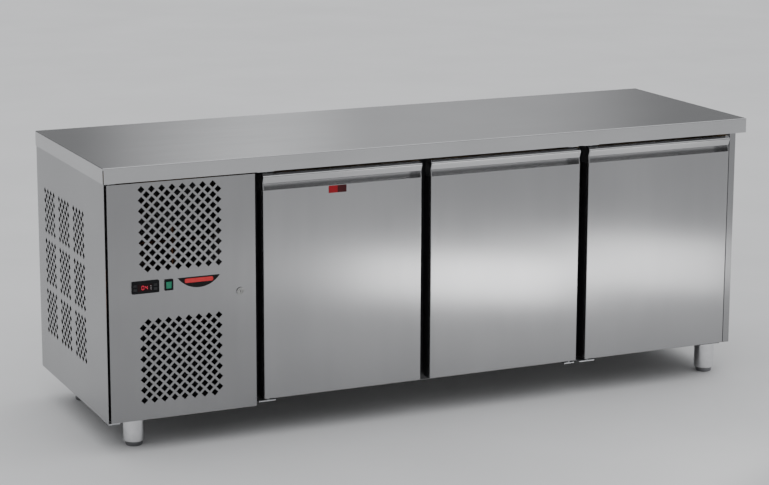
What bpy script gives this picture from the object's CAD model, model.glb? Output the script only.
import math

import bmesh
import bpy
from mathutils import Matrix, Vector


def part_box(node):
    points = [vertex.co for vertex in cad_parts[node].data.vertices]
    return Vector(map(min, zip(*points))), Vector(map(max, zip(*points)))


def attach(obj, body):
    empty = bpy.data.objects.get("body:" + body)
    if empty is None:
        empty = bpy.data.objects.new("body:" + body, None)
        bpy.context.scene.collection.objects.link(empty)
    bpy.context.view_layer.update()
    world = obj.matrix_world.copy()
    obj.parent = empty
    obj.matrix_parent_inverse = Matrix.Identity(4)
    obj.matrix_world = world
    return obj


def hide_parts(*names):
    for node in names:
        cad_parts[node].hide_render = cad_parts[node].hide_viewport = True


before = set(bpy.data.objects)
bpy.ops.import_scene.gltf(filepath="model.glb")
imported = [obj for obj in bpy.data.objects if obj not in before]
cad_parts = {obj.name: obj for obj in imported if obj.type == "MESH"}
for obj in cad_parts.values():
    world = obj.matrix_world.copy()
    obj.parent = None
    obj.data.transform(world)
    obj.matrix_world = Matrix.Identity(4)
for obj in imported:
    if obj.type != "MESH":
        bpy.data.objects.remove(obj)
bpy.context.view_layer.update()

MM = 0.001
QUARTER = math.pi / 2
DOORS = (1, 2, 3)


# ---------------------------------------------------------------- bench work

def clear_bench():
    bpy.ops.object.select_all(action="DESELECT")


def take(piece):
    clear_bench()
    piece.select_set(True)
    bpy.context.view_layer.objects.active = piece


def fix_place(piece):
    take(piece)
    bpy.ops.object.transform_apply(location=True, rotation=True, scale=True)


def block(name, low, high):
    """A block between two corners, the start of a pressed or moulded piece"""
    clear_bench()
    low, high = Vector(low), Vector(high)
    bpy.ops.mesh.primitive_cube_add(size=1, location=(low + high) / 2, scale=high - low)
    piece = bpy.context.object
    piece.name = piece.data.name = name
    fix_place(piece)
    return piece


def open_shape(piece, part):
    take(piece)
    bpy.ops.object.mode_set(mode="EDIT")
    bpy.ops.mesh.select_mode(type=part)
    bpy.ops.mesh.select_all(action="DESELECT")


def close_shape():
    bpy.ops.object.mode_set(mode="OBJECT")


def pick_faces(piece, wanted):
    """In face mode, selects the faces whose middle and normal pass the test"""
    bpy.ops.mesh.select_mode(type="FACE")
    bpy.ops.mesh.select_all(action="DESELECT")
    shape = bmesh.from_edit_mesh(piece.data)
    for face in shape.faces:
        if wanted(face.calc_center_median(), face.normal):
            face.select_set(True)
    bmesh.update_edit_mesh(piece.data)


def pick_edges(piece, wanted):
    """In edge mode, selects the edges whose middle and direction pass the test"""
    bpy.ops.mesh.select_mode(type="EDGE")
    bpy.ops.mesh.select_all(action="DESELECT")
    shape = bmesh.from_edit_mesh(piece.data)
    for edge in shape.edges:
        a, b = edge.verts[0].co, edge.verts[1].co
        if wanted((a + b) / 2, (b - a).normalized()):
            edge.select_set(True)
    bmesh.update_edit_mesh(piece.data)


def near(value, goal):
    """Whether two places along an axis are the same, within what a mesh rounds off"""
    slack = 0.05 * MM
    return abs(value - goal) < slack


def round_edges(piece, radius, rounds, wanted):
    """Rolls the picked edges to a radius"""
    open_shape(piece, "EDGE")
    pick_edges(piece, wanted)
    bpy.ops.mesh.bevel(offset=radius, segments=rounds, affect="EDGES", clamp_overlap=True)
    close_shape()


def use_modifier(piece, kind, settings):
    take(piece)
    bpy.ops.object.modifier_add(type=kind)
    tool = piece.modifiers[-1]
    for name, value in settings.items():
        setattr(tool, name, value)
    bpy.ops.object.modifier_apply(modifier=tool.name)


def thicken(piece, wall, side, even=True):
    """Gives a sheet its wall: side 1 grows it outwards, -1 inwards"""
    use_modifier(piece, "SOLIDIFY",
                 {"thickness": wall, "offset": side, "use_even_offset": even})


def join(pieces):
    clear_bench()
    for piece in pieces:
        piece.select_set(True)
    bpy.context.view_layer.objects.active = pieces[0]
    bpy.ops.object.join()
    return pieces[0]


def copy_at(piece, name, shift):
    """Another of the same piece, with its own mesh, moved by shift"""
    take(piece)
    bpy.ops.object.duplicate(linked=False)
    other = bpy.context.object
    other.name = other.data.name = name
    bpy.ops.transform.translate(value=shift)
    fix_place(other)
    return other


def dress(piece, body, finish, stands_for=(), angle=32):
    """Smooths a finished piece, gives it its finish and fixes it to its body"""
    take(piece)
    bpy.ops.object.shade_smooth_by_angle(angle=math.radians(angle))
    use_modifier(piece, "WEIGHTED_NORMAL", {"keep_sharp": True})
    piece.data.materials.clear()
    piece.data.materials.append(finish)
    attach(piece, body)
    if stands_for:
        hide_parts(*stands_for)
    clear_bench()


def fold(name, left, right, start, heading, moves, rounds=10):
    """Folds a strip of sheet on a press brake. It runs from left to right along X; start is
    (y, z) and heading turns from +Y towards +Z. Each move is ("run", length) or
    ("bend", radius, degrees)."""
    y, z = start
    length = moves[0][1]
    middle = ((left + right) / 2, y + math.cos(heading) * length / 2,
              z + math.sin(heading) * length / 2)
    clear_bench()
    bpy.ops.mesh.primitive_plane_add(size=1, rotation=(heading, 0, 0), location=middle)
    piece = bpy.context.object
    piece.name = piece.data.name = name
    piece.scale = (right - left, length, 1)
    fix_place(piece)
    y, z = y + math.cos(heading) * length, z + math.sin(heading) * length
    open_shape(piece, "EDGE")
    pick_edges(piece, lambda m, d: near(m.y, y) and near(m.z, z))
    for move in moves[1:]:
        if move[0] == "run":
            step = (0, math.cos(heading) * move[1], math.sin(heading) * move[1])
            bpy.ops.mesh.extrude_region_move(TRANSFORM_OT_translate={"value": step})
            y, z = y + step[1], z + step[2]
            continue
        turn = math.radians(move[2])
        side = math.copysign(move[1], turn)
        centre = (0, y - math.sin(heading) * side, z + math.cos(heading) * side)
        bpy.ops.mesh.spin(steps=rounds, angle=-turn, center=centre, axis=(1, 0, 0))
        y = centre[1] + math.sin(heading + turn) * side
        z = centre[2] - math.cos(heading + turn) * side
        heading += turn
    bpy.ops.mesh.select_all(action="SELECT")
    bpy.ops.mesh.remove_doubles(threshold=0.01 * MM)
    close_shape()
    return piece


def fold_through(name, left, right, corners, radii, rounds=10):
    """Folds a strip along a line through (y, z) corners, each inner corner rolled to its radius"""
    points = [Vector(corner) for corner in corners]
    legs = [b - a for a, b in zip(points, points[1:])]
    headings = [math.atan2(leg.y, leg.x) for leg in legs]
    turns = [math.remainder(b - a, 2 * math.pi) for a, b in zip(headings, headings[1:])]
    trims = [radius * math.tan(abs(turn) / 2) for radius, turn in zip(radii, turns)]
    trims = [0] + trims + [0]
    moves = []
    for k, leg in enumerate(legs):
        moves.append(("run", leg.length - trims[k] - trims[k + 1]))
        if k < len(turns):
            moves.append(("bend", radii[k], math.degrees(turns[k])))
    return fold(name, left, right, corners[0], headings[0], moves, rounds)


def plate_of(name, left, right, corners, radii, rounds=8):
    """A flat plate with a folded outline: the outline is folded as a closed band, and both
    sides are filled"""
    start = ((corners[0][0] + corners[1][0]) / 2, (corners[0][1] + corners[1][1]) / 2)
    around = [start] + corners[1:] + [corners[0], start]
    piece = fold_through(name, left, right, around, radii[1:] + radii[:1], rounds)
    for side in (left, right):
        open_shape(piece, "EDGE")
        pick_edges(piece, lambda m, d: near(m.x, side) and abs(d.x) < 0.5)
        bpy.ops.mesh.edge_face_add()
        close_shape()
    open_shape(piece, "FACE")
    bpy.ops.mesh.select_all(action="SELECT")
    bpy.ops.mesh.normals_make_consistent(inside=False)
    close_shape()
    return piece


def turned(name, centre, axis, rings, around=48):
    """Turns a piece on a lathe. axis is a unit vector; each ring is (distance along it, radius)."""
    axis = Vector(axis)
    centre = Vector(centre)
    tilt = axis.to_track_quat("Z", "Y").to_euler()
    reach, radius = rings[0]
    clear_bench()
    bpy.ops.mesh.primitive_circle_add(vertices=around, radius=radius, fill_type="NOTHING",
                                      location=centre + axis * reach, rotation=tilt)
    piece = bpy.context.object
    piece.name = piece.data.name = name
    fix_place(piece)
    open_shape(piece, "EDGE")
    bpy.ops.mesh.select_all(action="SELECT")
    for next_reach, next_radius in rings[1:]:
        step = axis * (next_reach - reach)
        bpy.ops.mesh.extrude_region_move(TRANSFORM_OT_translate={"value": step})
        if next_radius != radius:
            size = next_radius / radius
            bpy.ops.transform.resize(value=(size, size, size),
                                     center_override=centre + axis * next_reach)
        reach, radius = next_reach, next_radius
    bpy.ops.mesh.edge_face_add()
    bpy.ops.mesh.select_all(action="DESELECT")
    bpy.ops.mesh.select_non_manifold()
    bpy.ops.mesh.edge_face_add()
    bpy.ops.mesh.select_all(action="SELECT")
    bpy.ops.mesh.normals_make_consistent(inside=False)
    close_shape()
    return piece


# ---------------------------------------------------------------- finishes

# Places of the Mix node's sockets, for numbers and for colours
NUMBER_A, NUMBER_B, NUMBER_OUT = 2, 3, 0
COLOUR_A, COLOUR_B, COLOUR_OUT = 6, 7, 2


def new_finish(name):
    finish = bpy.data.materials.new(name)
    finish.use_nodes = True
    tree = finish.node_tree
    return finish, tree, tree.nodes["Principled BSDF"]


def grain_noise(tree, stretch, scale, detail):
    """Noise in the piece's own space, in cells of 1/scale metres, drawn out where stretch is
    small"""
    where = tree.nodes.new("ShaderNodeTexCoord")
    place = tree.nodes.new("ShaderNodeMapping")
    place.inputs["Scale"].default_value = stretch
    noise = tree.nodes.new("ShaderNodeTexNoise")
    noise.inputs["Scale"].default_value = scale
    noise.inputs["Detail"].default_value = detail
    noise.inputs["Roughness"].default_value = 0.55
    tree.links.new(where.outputs["Object"], place.inputs["Vector"])
    tree.links.new(place.outputs["Vector"], noise.inputs["Vector"])
    return noise.outputs["Fac"]


def spread(tree, source, low, high, low_in=0.3, high_in=0.7):
    """Maps a noise to a range of values"""
    reach = tree.nodes.new("ShaderNodeMapRange")
    reach.inputs["From Min"].default_value = low_in
    reach.inputs["From Max"].default_value = high_in
    reach.inputs["To Min"].default_value = low
    reach.inputs["To Max"].default_value = high
    tree.links.new(source, reach.inputs["Value"])
    return reach.outputs["Result"]


def shade_between(tree, source, dark, light, low_in=0.3, high_in=0.7):
    """Maps a noise to a shade between two colours"""
    ramp = tree.nodes.new("ShaderNodeValToRGB")
    ramp.color_ramp.elements[0].position = low_in
    ramp.color_ramp.elements[0].color = (*dark, 1)
    ramp.color_ramp.elements[1].position = high_in
    ramp.color_ramp.elements[1].color = (*light, 1)
    tree.links.new(source, ramp.inputs["Fac"])
    return ramp.outputs["Color"]


def relief(tree, source, depth, strength):
    bump = tree.nodes.new("ShaderNodeBump")
    bump.inputs["Distance"].default_value = depth
    bump.inputs["Strength"].default_value = strength
    tree.links.new(source, bump.inputs["Height"])
    return bump.outputs["Normal"]


def brushed_steel(name, along, tone, gloss, blur, radial="Z"):
    """Satin steel: hairline scratches run along one axis, with slow changes in shade and gloss"""
    drawn_out, gloss_change, shade_change = 0.012, 0.03, 0.015
    finish, tree, shader = new_finish(name)
    shader.inputs["Metallic"].default_value = 1.0
    shader.inputs["Anisotropic"].default_value = blur
    thin = [drawn_out if axis == along else 1.0 for axis in "XYZ"]
    broad = [drawn_out * 4 if axis == along else 1.0 for axis in "XYZ"]
    hairs = grain_noise(tree, thin, 900, 3.0)
    bands = grain_noise(tree, broad, 60, 4.0)
    clouds = grain_noise(tree, (1, 1, 1), 3.0, 2.0)
    mix = tree.nodes.new("ShaderNodeMix")
    mix.data_type = "FLOAT"
    mix.inputs["Factor"].default_value = 0.45
    tree.links.new(hairs, mix.inputs[NUMBER_A])
    tree.links.new(bands, mix.inputs[NUMBER_B])
    grain = mix.outputs[NUMBER_OUT]
    dark = tuple(c - shade_change for c in tone)
    light = tuple(c + shade_change for c in tone)
    shade = shade_between(tree, clouds, dark, light, 0.35, 0.65)
    lines = shade_between(tree, grain, (0.94, 0.94, 0.94), (1, 1, 1), 0.4, 0.6)
    both = tree.nodes.new("ShaderNodeMix")
    both.data_type = "RGBA"
    both.blend_type = "MULTIPLY"
    both.inputs["Factor"].default_value = 0.6
    tree.links.new(shade, both.inputs[COLOUR_A])
    tree.links.new(lines, both.inputs[COLOUR_B])
    tree.links.new(both.outputs[COLOUR_OUT], shader.inputs["Base Color"])
    tree.links.new(spread(tree, grain, gloss, gloss + gloss_change, 0.35, 0.65),
                   shader.inputs["Roughness"])
    tree.links.new(relief(tree, hairs, 0.02 * MM, 0.16), shader.inputs["Normal"])
    tangent = tree.nodes.new("ShaderNodeTangent")
    tangent.direction_type = "RADIAL"
    tangent.axis = radial
    tree.links.new(tangent.outputs["Tangent"], shader.inputs["Tangent"])
    return finish


def bright_metal(name, dark, light, gloss, rougher, scale=40):
    """Polished or plated metal with faint marks from handling"""
    finish, tree, shader = new_finish(name)
    shader.inputs["Metallic"].default_value = 1.0
    marks = grain_noise(tree, (1, 1, 1), scale, 5.0)
    fine = grain_noise(tree, (1, 1, 1), scale * 18, 3.0)
    tree.links.new(shade_between(tree, marks, dark, light, 0.35, 0.65),
                   shader.inputs["Base Color"])
    tree.links.new(spread(tree, marks, gloss, rougher), shader.inputs["Roughness"])
    tree.links.new(relief(tree, fine, 0.01 * MM, 0.2), shader.inputs["Normal"])
    return finish


def moulded(name, dark, light, gloss, rougher, grain=900, depth=0.05 * MM, strength=0.3,
            coat=0.0, shine=0.5):
    """Moulded plastic, rubber, foam or paint: two near shades and a fine grain"""
    finish, tree, shader = new_finish(name)
    shader.inputs["Coat Weight"].default_value = coat
    shader.inputs["Specular IOR Level"].default_value = shine
    clouds = grain_noise(tree, (1, 1, 1), grain / 25, 4.0)
    texture = grain_noise(tree, (1, 1, 1), grain, 3.0)
    tree.links.new(shade_between(tree, clouds, dark, light, 0.35, 0.65),
                   shader.inputs["Base Color"])
    tree.links.new(spread(tree, texture, gloss, rougher), shader.inputs["Roughness"])
    tree.links.new(relief(tree, texture, depth, strength), shader.inputs["Normal"])
    return finish


def glowing(name, dark, light, glow, power):
    """Lit plastic or a lit segment: it shines from inside, with a slight mottle"""
    finish = moulded(name, dark, light, gloss=0.25, rougher=0.35)
    shader = finish.node_tree.nodes["Principled BSDF"]
    shader.inputs["Emission Color"].default_value = (*glow, 1)
    shader.inputs["Emission Strength"].default_value = power
    return finish


SHEET = brushed_steel("panel_brushed_steel", "Z", (0.31, 0.31, 0.314), gloss=0.24, blur=0.8)
LEFT_SHEET = brushed_steel("side_brushed_steel", "Z", (0.40, 0.40, 0.405), gloss=0.24, blur=0.8)
TOP_SHEET = brushed_steel("worktop_brushed_steel", "X", (0.50, 0.50, 0.505), gloss=0.14, blur=0.6,
                          radial="X")
DOOR_SHEET = brushed_steel("door_brushed_steel", "Z", (0.355, 0.355, 0.36), gloss=0.24, blur=0.8)
GRIP_STEEL = brushed_steel("grip_satin_steel", "X", (0.52, 0.52, 0.525), gloss=0.20, blur=0.5,
                           radial="X")
LINER_STEEL = brushed_steel("liner_plain_steel", "X", (0.66, 0.66, 0.665), gloss=0.32, blur=0.3)
POLISHED = bright_metal("leg_polished_steel", (0.70, 0.70, 0.71), (0.78, 0.78, 0.79), gloss=0.06,
                        rougher=0.12)
FOOT_METAL = bright_metal("foot_dark_chrome", (0.20, 0.20, 0.21), (0.28, 0.28, 0.29), gloss=0.10,
                          rougher=0.18)
LOCK_METAL = bright_metal("lock_nickel", (0.30, 0.30, 0.29), (0.42, 0.42, 0.41), gloss=0.12,
                          rougher=0.20, scale=200)
BRACKET_ZINC = bright_metal("bracket_zinc", (0.48, 0.49, 0.50), (0.62, 0.63, 0.64), gloss=0.30,
                            rougher=0.46, scale=160)
WIRE_CHROME = bright_metal("shelf_wire_chrome", (0.62, 0.62, 0.63), (0.74, 0.74, 0.75),
                           gloss=0.12, rougher=0.22, scale=90)
FIN_ALU = bright_metal("fin_aluminium", (0.55, 0.56, 0.57), (0.70, 0.71, 0.72), gloss=0.28,
                       rougher=0.42, scale=120)
FIN_BLACK = moulded("fin_black_lacquer", (0.010, 0.010, 0.011), (0.022, 0.022, 0.024), gloss=0.45,
                    rougher=0.60, grain=800, depth=0.05 * MM)
PIPE_COPPER = bright_metal("pipe_copper", (0.34, 0.15, 0.08), (0.52, 0.27, 0.16), gloss=0.26,
                           rougher=0.46, scale=60)
BLACK_PLASTIC = moulded("frame_black_plastic", (0.008, 0.008, 0.009), (0.016, 0.016, 0.018),
                        gloss=0.42, rougher=0.55)
SEAL_RUBBER = moulded("seal_rubber", (0.016, 0.016, 0.017), (0.030, 0.030, 0.032), gloss=0.60,
                      rougher=0.75, grain=1400, depth=0.04 * MM)
BEZEL_BLACK = moulded("bezel_satin_black", (0.003, 0.003, 0.004), (0.007, 0.007, 0.009),
                      gloss=0.26, rougher=0.36, grain=700, depth=0.02 * MM, strength=0.2,
                      shine=0.18)
WINDOW_RED = moulded("window_smoked_red", (0.012, 0.001, 0.002), (0.020, 0.002, 0.003),
                     gloss=0.14, rougher=0.20, grain=500, depth=0.01 * MM, strength=0.1,
                     shine=0.2)
KEY_GREY = moulded("key_dark_plastic", (0.020, 0.020, 0.022), (0.040, 0.040, 0.043), gloss=0.40,
                   rougher=0.50, shine=0.3)
PLATE_BLACK = moulded("plate_black_enamel", (0.003, 0.003, 0.003), (0.008, 0.007, 0.007),
                      gloss=0.22, rougher=0.32, grain=500, depth=0.02 * MM, strength=0.15,
                      shine=0.2)
PLATE_RED = moulded("plate_red_enamel", (0.60, 0.030, 0.035), (0.78, 0.050, 0.055), gloss=0.30,
                    rougher=0.38, grain=500, depth=0.03 * MM, strength=0.2, shine=0.3)
TAG_RED = moulded("tag_red_film", (0.26, 0.004, 0.010), (0.38, 0.008, 0.016), gloss=0.34,
                  rougher=0.44, grain=500, depth=0.02 * MM, strength=0.2, shine=0.2)
TAG_DARK = moulded("tag_dark_film", (0.050, 0.003, 0.005), (0.090, 0.005, 0.008), gloss=0.34,
                   rougher=0.44, grain=500, depth=0.02 * MM, strength=0.2, shine=0.2)
ROCKER_GREEN = glowing("rocker_green_lens", (0.002, 0.10, 0.055), (0.004, 0.15, 0.085),
                       glow=(0.01, 0.42, 0.22), power=0.20)
DIGIT_RED = glowing("digit_red_light", (0.5, 0.02, 0.04), (0.7, 0.03, 0.05),
                    glow=(1.0, 0.03, 0.08), power=0.9)
LAMP_PALE = glowing("lamp_pale_light", (0.4, 0.4, 0.4), (0.6, 0.6, 0.6), glow=(0.8, 0.85, 0.9),
                     power=0.25)
FOAM = moulded("foam_cream", (0.62, 0.52, 0.30), (0.76, 0.67, 0.43), gloss=0.80, rougher=0.92,
               grain=500, depth=0.3 * MM, strength=0.5)
BOARD = moulded("core_board_brown", (0.30, 0.19, 0.09), (0.50, 0.35, 0.19), gloss=0.65,
                rougher=0.80, grain=500, depth=0.3 * MM, strength=0.5)
FAN_BLACK = moulded("fan_black_plastic", (0.012, 0.012, 0.013), (0.024, 0.024, 0.026), gloss=0.36,
                    rougher=0.48)
MOTOR_GREY = moulded("motor_dark_paint", (0.030, 0.030, 0.032), (0.055, 0.055, 0.058), gloss=0.38,
                     rougher=0.52, grain=600, depth=0.06 * MM, strength=0.4)
PUMP_BLACK = moulded("pump_black_enamel", (0.008, 0.008, 0.009), (0.018, 0.018, 0.020),
                     gloss=0.18, rougher=0.32, grain=350, depth=0.10 * MM, strength=0.35,
                     coat=0.4)
BOX_GREY = moulded("box_dark_plastic", (0.030, 0.031, 0.034), (0.050, 0.052, 0.056), gloss=0.40,
                   rougher=0.50)

NODE_FINISH = {
    SHEET: ["side_right", "back_panel", "base_panel", "bulkhead", "service_panel"],
    LEFT_SHEET: ["side_left"],
    TOP_SHEET: ["worktop"],
    BOARD: ["worktop_core"],
    FOAM: ["insulation", "door_1_core", "door_2_core", "door_3_core"],
    LINER_STEEL: ["liner", "evaporator_case"],
    DOOR_SHEET: ["door_1_skin", "door_2_skin", "door_3_skin"],
    GRIP_STEEL: ["door_1_handle", "door_2_handle", "door_3_handle"],
    POLISHED: ["leg_tubes"],
    FOOT_METAL: ["foot_1", "foot_2", "foot_3", "foot_4"],
    BLACK_PLASTIC: ["front_frame", "door_1_liner", "door_2_liner", "door_3_liner"],
    BOX_GREY: ["electrical_box"],
    SEAL_RUBBER: ["door_1_gasket", "door_2_gasket", "door_3_gasket", "compressor_mounts"],
    LOCK_METAL: ["lock_body", "lock_cam"],
    BEZEL_BLACK: ["controller_housing", "rocker_frame"],
    WINDOW_RED: ["controller_display"],
    KEY_GREY: ["key_1", "key_2", "key_3", "key_4"],
    ROCKER_GREEN: ["rocker"],
    PLATE_BLACK: ["name_plate"],
    TAG_RED: ["door_tag"],
    BRACKET_ZINC: ["hinge_brackets", "shelf_supports"],
    WIRE_CHROME: ["shelf_1", "shelf_2", "shelf_3"],
    FIN_ALU: ["evaporator_coil"],
    FIN_BLACK: ["condenser_coil"],
    FAN_BLACK: ["evaporator_fan", "condenser_fan"],
    MOTOR_GREY: ["evaporator_motor", "condenser_motor", "condenser_shroud"],
    PUMP_BLACK: ["compressor"],
    PIPE_COPPER: ["pipes"],
}
for finish, names in NODE_FINISH.items():
    for name in names:
        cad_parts[name].material_slots[0].material = finish


# ---------------------------------------------------------------- sheet metal

def worktop():
    """Pressed top: rolled upper edges, edges turned down with open corners, and a hem turned
    in underneath"""
    low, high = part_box("worktop")
    hem, wall, roll = 15 * MM, 1.2 * MM, 2.2 * MM
    slot, slot_top = 2.6 * MM, high.z - 5 * MM
    piece = block("worktop_pressed_sheet", low, high)
    round_edges(piece, slot, 1, lambda m, d: abs(d.z) > 0.9)
    open_shape(piece, "FACE")
    bpy.ops.mesh.select_all(action="SELECT")
    bpy.ops.mesh.bisect(plane_co=(0, 0, slot_top), plane_no=(0, 0, 1))
    pick_faces(piece, lambda m, n: n.z < -0.9)
    bpy.ops.mesh.inset(thickness=hem)
    bpy.ops.mesh.delete(type="FACE")
    pick_faces(piece, lambda m, n: min(abs(n.x), abs(n.y)) > 0.3 and m.z < slot_top)
    bpy.ops.mesh.delete(type="FACE")
    pick_faces(piece, lambda m, n: (n.z < -0.9 and abs(m.x) > high.x - hem
                                    and abs(m.y) > high.y - hem))
    bpy.ops.mesh.delete(type="FACE")
    close_shape()
    round_edges(piece, roll, 6, lambda m, d: near(m.z, high.z))
    thicken(piece, wall, -1, even=False)
    dress(piece, "cabinet", TOP_SHEET, ["worktop"])


def door_sheet():
    """Door skin: front sheet with rolled sides and foot, open at the back, notched under the
    grip's ends"""
    low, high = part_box("door_1_skin")
    wall, notch = 1 * MM, 2.7 * MM
    roll, foot_ease, top_ease = 2.0 * MM, 0.6 * MM, 0.7 * MM
    piece = block("door_1_outer_sheet", low, high)
    open_shape(piece, "FACE")
    pick_faces(piece, lambda m, n: n.y > 0.9 or n.z > 0.9)
    bpy.ops.mesh.delete(type="FACE")
    bpy.ops.mesh.select_all(action="SELECT")
    bpy.ops.mesh.bisect(plane_co=(0, 0, high.z - notch), plane_no=(0, 0, 1))
    pick_faces(piece, lambda m, n: abs(n.x) > 0.9 and m.z > high.z - notch)
    bpy.ops.mesh.delete(type="FACE")
    close_shape()
    round_edges(piece, roll, 6, lambda m, d: near(m.y, low.y) and m.z < high.z - notch - MM)
    round_edges(piece, foot_ease, 3, lambda m, d: abs(d.y) > 0.9 and m.z < low.z + 3 * MM)
    thicken(piece, wall, -1)
    round_edges(piece, top_ease, 4, lambda m, d: (near(m.z, high.z) and near(m.y, low.y)
                                                  and abs(d.x) > 0.9))
    return piece


def grip_bar():
    """Grip: one strip folded into the trough, its back, the beak and its lip, with a cap at
    each end"""
    low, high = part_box("door_1_handle")
    worktop_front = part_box("worktop")[0].y
    skin_low, skin_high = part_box("door_1_skin")
    wall, overlap = 2.5 * MM, 0.05 * MM
    cap = wall
    front, floor = skin_low.y + 1.2 * MM, skin_high.z - wall
    back, top = high.y, high.z
    beak = [(skin_low.y + 8 * MM, top), (worktop_front, top - 8 * MM),
            (skin_low.y + 3 * MM, skin_high.z + 16 * MM),
            (skin_low.y + 15 * MM, skin_high.z + 17 * MM)]
    lip = (skin_low.y + 16 * MM, skin_high.z + 26 * MM)
    fold_bend, crest_bend, nose_bend, lip_bend = 2.6 * MM, 6 * MM, 5 * MM, 3.2 * MM
    bar = fold_through("door_1_grip_bar", low.x + cap - overlap, high.x - cap + overlap,
                       [(front, floor), (back, floor), (back, top)] + beak + [lip],
                       [fold_bend, fold_bend, crest_bend, nose_bend, lip_bend, lip_bend])
    thicken(bar, wall, 1)
    tuck = (beak[2][0] + 0.5 * MM, beak[2][1] + 1.5 * MM)
    outline = [(front, floor), (back, floor), (back, top), beak[0], beak[1], tuck]
    corners = [0.4 * MM, fold_bend, fold_bend, crest_bend, nose_bend, 1.0 * MM]
    ends = []
    for x in (low.x, high.x - cap):
        end = plate_of("end", x, x + cap, outline, corners)
        outer = low.x if x == low.x else high.x
        round_edges(end, 0.3 * MM, 2, lambda m, d: near(m.x, outer) and abs(d.x) < 0.5)
        ends.append(end)
    return join([bar] + ends)


def each_door(model, name, finish, node):
    """Fits the first door's piece to all three doors"""
    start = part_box("door_1_skin")[0].x
    for i in DOORS[1:]:
        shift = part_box(f"door_{i}_skin")[0].x - start
        other = copy_at(model, name.format(i), (shift, 0, 0))
        dress(other, f"door_{i}", finish, [node.format(i)])
    dress(model, "door_1", finish, [node.format(1)])


def seal_frame():
    """Door seal: a wide base, a narrow neck and a rounded magnet strip, all the way round"""
    low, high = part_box("door_1_gasket")
    width = 14 * MM
    base, neck, magnet_strip = (0, 0, 2.6, 0.5), (3.5, 2.2, 5.2, 0.3), (1, 4.6, 7.4, 1.1)
    rings = []
    for margin, near_y, far_y, ease in (base, neck, magnet_strip):
        margin, near_y, far_y = margin * MM, low.y + near_y * MM, low.y + far_y * MM
        ring = block("ring", (low.x + margin, near_y, low.z + margin),
                     (high.x - margin, far_y, high.z - margin))
        open_shape(ring, "FACE")
        pick_faces(ring, lambda m, n: abs(n.y) > 0.9)
        bpy.ops.mesh.inset(thickness=width - 2 * margin)
        bpy.ops.mesh.bridge_edge_loops()
        close_shape()
        round_edges(ring, ease * MM, 3, lambda m, d: abs(d.y) < 0.5)
        rings.append(ring)
    seal = join(rings)
    seal.name = seal.data.name = "door_1_seal"
    return seal


worktop()
each_door(door_sheet(), "door_{}_outer_sheet", DOOR_SHEET, "door_{}_skin")
each_door(grip_bar(), "door_{}_grip_bar", GRIP_STEEL, "door_{}_handle")
each_door(seal_frame(), "door_{}_seal", SEAL_RUBBER, "door_{}_gasket")


# ---------------------------------------------------------------- badge, tag and instruments

def badge():
    """Plain badge: a black plate, straight along the top and curved below, with one raised red
    bar"""
    low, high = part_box("name_plate")
    width, thick, height = high - low
    bar_reach, bar_drop, bar_gap, bar_proud = 38 * MM, 14 * MM, 3 * MM, 0.3 * MM
    radius = (width ** 2 / 4 + height ** 2) / (2 * height)
    middle = (low.x + high.x) / 2
    clear_bench()
    bpy.ops.mesh.primitive_cylinder_add(vertices=240, radius=radius, depth=thick,
                                        location=(middle, (low.y + high.y) / 2, low.z + radius),
                                        rotation=(QUARTER, 0, 0))
    plate = bpy.context.object
    plate.name = plate.data.name = "badge_plate"
    fix_place(plate)
    open_shape(plate, "FACE")
    bpy.ops.mesh.select_all(action="SELECT")
    bpy.ops.mesh.bisect(plane_co=(0, 0, high.z), plane_no=(0, 0, 1), clear_outer=True,
                        use_fill=True)
    close_shape()
    round_edges(plate, 0.5 * MM, 3, lambda m, d: near(m.y, low.y) and abs(d.y) < 0.5)
    dress(plate, "service", PLATE_BLACK, ["name_plate"])
    bar = block("badge_bar", (middle - bar_reach, low.y - bar_proud, high.z - bar_drop),
                (middle + bar_reach, low.y + 0.4 * MM, high.z - bar_gap))
    round_edges(bar, 3.5 * MM, 6, lambda m, d: abs(d.y) > 0.9)
    round_edges(bar, 0.2 * MM, 2, lambda m, d: near(m.y, low.y - bar_proud) and abs(d.y) < 0.5)
    dress(bar, "service", PLATE_RED)


def tag():
    """Plain film tag in two tones, bright at the left and dark at the right"""
    low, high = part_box("door_tag")
    split = low.x + 0.5 * (high.x - low.x)
    for name, left, right, finish in (("tag_bright_end", low.x, split, TAG_RED),
                                      ("tag_dark_end", split, high.x, TAG_DARK)):
        film = block(name, (left, low.y, low.z), (right, high.y, high.z))
        round_edges(film, 1.2 * MM, 4, lambda m, d: abs(d.y) > 0.9 and not near(m.x, split))
        round_edges(film, 0.1 * MM, 2, lambda m, d: near(m.y, low.y) and abs(d.y) < 0.5)
        dress(film, "door_1", finish, ["door_tag"] if finish is TAG_RED else ())


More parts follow.
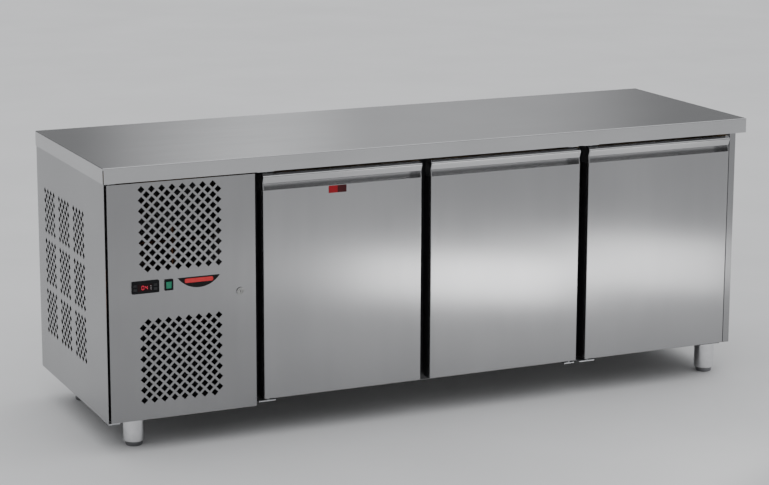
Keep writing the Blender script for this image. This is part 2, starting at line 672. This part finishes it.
def digits():
    """Two lit seven-bar digits and a row of small lamps on the controller's window"""
    low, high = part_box("controller_display")
    middle, foot = (low.x + high.x) / 2, low.z + 4 * MM
    wide, tall, bar, ease = 5.5 * MM, 9.5 * MM, 1.1 * MM, 0.7 * MM
    step, lamp_step, lamp_radius = 9 * MM, 4.4 * MM, 0.8 * MM
    face = low.y - 0.05 * MM
    lit = {"0": "top left right low_left low_right foot", "4": "left right middle low_right"}
    parts = []
    for k, digit in enumerate("04"):
        x, z = middle - 8 * MM + k * step, foot
        places = {
            "top": (0, tall, wide, 0), "middle": (0, tall / 2, wide, 0), "foot": (0, 0, wide, 0),
            "left": (0, tall / 2, 0, tall / 2), "right": (wide, tall / 2, 0, tall / 2),
            "low_left": (0, 0, 0, tall / 2), "low_right": (wide, 0, 0, tall / 2)}
        for name in lit[digit].split():
            dx, dz, along, up = places[name]
            part = block("bar",
                         (x + dx + (ease if along else -bar / 2), face,
                          z + dz + (ease if up else -bar / 2)),
                         (x + dx + (along - ease if along else bar / 2), face + 0.2 * MM,
                          z + dz + (up - ease if up else bar / 2)))
            round_edges(part, 0.45 * MM, 3, lambda m, d: abs(d.y) > 0.9)
            parts.append(part)
    lit_bars = join(parts)
    lit_bars.name = lit_bars.data.name = "controller_digits"
    dress(lit_bars, "service", DIGIT_RED)
    lamps = []
    for k in range(3):
        lamps.append(turned("lamp", (high.x - 3 * MM, face, foot + k * lamp_step), (0, -1, 0),
                            [(-0.2 * MM, lamp_radius), (0, lamp_radius), (0.05 * MM, 0.6 * MM)],
                            20))
    lamps = join(lamps)
    lamps.name = lamps.data.name = "controller_lamps"
    dress(lamps, "service", LAMP_PALE)


badge()
tag()
digits()


# ---------------------------------------------------------------- legs

def legs():
    """Four polished leg tubes with their top plates, and a turned foot under each"""
    low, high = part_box("leg_tubes")
    half_plate, plate_thick = 32 * MM, 3 * MM
    tube_radius, stem_radius, stem_hole = half_plate - 4 * MM, 8 * MM, 8.1 * MM
    neck = low.z - 0.3 * MM
    places = []
    for i in (1, 2, 3, 4):
        foot_low, foot_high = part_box(f"foot_{i}")
        x, y = (foot_low.x + foot_high.x) / 2, (foot_low.y + foot_high.y) / 2
        radius = (foot_high.x - foot_low.x) / 2
        places.append((x, y))
        foot = turned(f"leg_{i}_foot", (x, y, 0), (0, 0, 1), [
            (0, radius - 4 * MM), (0.8 * MM, radius - 3 * MM), (2.5 * MM, radius - 2 * MM),
            (neck - 3 * MM, radius - 0.6 * MM), (neck - 1 * MM, radius), (neck, radius),
            (neck + 0.01 * MM, stem_radius), (foot_high.z - MM, stem_radius),
            (foot_high.z, stem_radius - MM)], 96)
        dress(foot, f"foot_{i}", FOOT_METAL, [f"foot_{i}"], 28)
    tubes, plates = [], []
    for x, y in places:
        tubes.append(turned("tube", (x, y, 0), (0, 0, 1), [
            (low.z + 16 * MM, stem_hole), (low.z, stem_hole), (low.z, tube_radius - 1.2 * MM),
            (low.z + 0.35 * MM, tube_radius - 0.35 * MM), (low.z + 1.2 * MM, tube_radius),
            (high.z - plate_thick - 0.1 * MM, tube_radius)], 96))
        plate = block("plate", (x - half_plate, y - half_plate, high.z - plate_thick),
                      (x + half_plate, y + half_plate, high.z))
        round_edges(plate, 4 * MM, 5, lambda m, d: abs(d.z) > 0.9)
        round_edges(plate, 0.4 * MM, 2, lambda m, d: near(m.z, high.z - plate_thick))
        plates.append(plate)
    tubes = join(tubes + plates)
    tubes.name = tubes.data.name = "leg_polished_tubes"
    dress(tubes, "cabinet", POLISHED, ["leg_tubes"], 28)


legs()


# ---------------------------------------------------------------- studio

def studio():
    clear_bench()
    bpy.ops.mesh.primitive_plane_add(size=80, location=(0, 10, 0))
    floor = bpy.context.object
    floor.name = "studio_floor"
    fix_place(floor)
    pale = moulded("studio_floor_paper", (0.74, 0.74, 0.74), (0.78, 0.78, 0.78), gloss=0.75,
                   rougher=0.85, grain=40, strength=0.05)
    floor.data.materials.append(pale)
    bpy.context.scene.world = studio_air()


# Height in the sky where the light starts and stops growing, and its strength below and above
SKY_FADE = (0.30, 0.85, 0.26, 1.45)
# Direction, outer and inner half-angle in degrees, and strength of each bright patch
BRIGHT_PATCHES = (((0.350, 0.937, 0.20), 4, 0.5, 0.62), ((0.431, 0.903, 0.20), 7, 3, 0.36))


def studio_air():
    """Soft light from above, fading to a dim horizon, with two bright patches low at the back"""
    world = bpy.data.worlds.new("studio_air")
    world.use_nodes = True
    tree = world.node_tree
    ray = tree.nodes.new("ShaderNodeTexCoord")
    height = tree.nodes.new("ShaderNodeSeparateXYZ")
    tree.links.new(ray.outputs["Generated"], height.inputs["Vector"])
    total = fade(tree, height.outputs["Z"], *SKY_FADE)
    for aim, outer, inner, strength in BRIGHT_PATCHES:
        toward = tree.nodes.new("ShaderNodeVectorMath")
        toward.operation = "DOT_PRODUCT"
        toward.inputs[1].default_value = Vector(aim).normalized()
        tree.links.new(ray.outputs["Generated"], toward.inputs[0])
        patch = fade(tree, toward.outputs["Value"], math.cos(math.radians(outer)),
                     math.cos(math.radians(inner)), 0.0, strength)
        both = tree.nodes.new("ShaderNodeMath")
        tree.links.new(total, both.inputs[0])
        tree.links.new(patch, both.inputs[1])
        total = both.outputs[0]
    tree.links.new(total, tree.nodes["Background"].inputs["Strength"])
    tree.nodes["Background"].inputs["Color"].default_value = (0.97, 0.98, 1.0, 1)
    return world


def fade(tree, source, low_in, high_in, low, high):
    """Maps a value smoothly from one range to another"""
    reach = tree.nodes.new("ShaderNodeMapRange")
    reach.interpolation_type = "SMOOTHSTEP"
    reach.inputs["From Min"].default_value = low_in
    reach.inputs["From Max"].default_value = high_in
    reach.inputs["To Min"].default_value = low
    reach.inputs["To Max"].default_value = high
    tree.links.new(source, reach.inputs["Value"])
    return reach.outputs["Result"]


def softbox(name, place, aim, size, power, spread_angle):
    clear_bench()
    bpy.ops.object.light_add(type="AREA", location=place)
    lamp = bpy.context.object
    lamp.name = name
    lamp.rotation_euler = (Vector(aim) - Vector(place)).to_track_quat("-Z", "Y").to_euler()
    lamp.data.shape = "RECTANGLE"
    lamp.data.size, lamp.data.size_y = size
    lamp.data.energy = power
    lamp.data.spread = math.radians(spread_angle)
    lamp.visible_camera = False
    return lamp


def camera():
    tilt_down, turn_right = 0.2008, 0.4142
    clear_bench()
    eye = bpy.data.cameras.new("studio_camera")
    eye.sensor_width = 36
    eye.lens = 104.05
    eye.shift_x, eye.shift_y = 0.0454, -0.0608
    eye.clip_end = 200
    stand = bpy.data.objects.new("studio_camera", eye)
    bpy.context.scene.collection.objects.link(stand)
    stand.location = (-2.5343, -5.4436, 1.7622)
    stand.rotation_euler = (QUARTER - tilt_down, 0, -turn_right)
    bpy.context.scene.camera = stand


studio()
softbox("door_strip_left", (0.50, -1.2, 0.127), aim=(-0.05, -0.37, 0.33),
        size=(0.60, 0.13), power=0.60, spread_angle=120)
softbox("door_strip_right", (1.15, -1.2, 0.110), aim=(0.60, -0.37, 0.30),
        size=(0.55, 0.16), power=0.45, spread_angle=120)
camera()
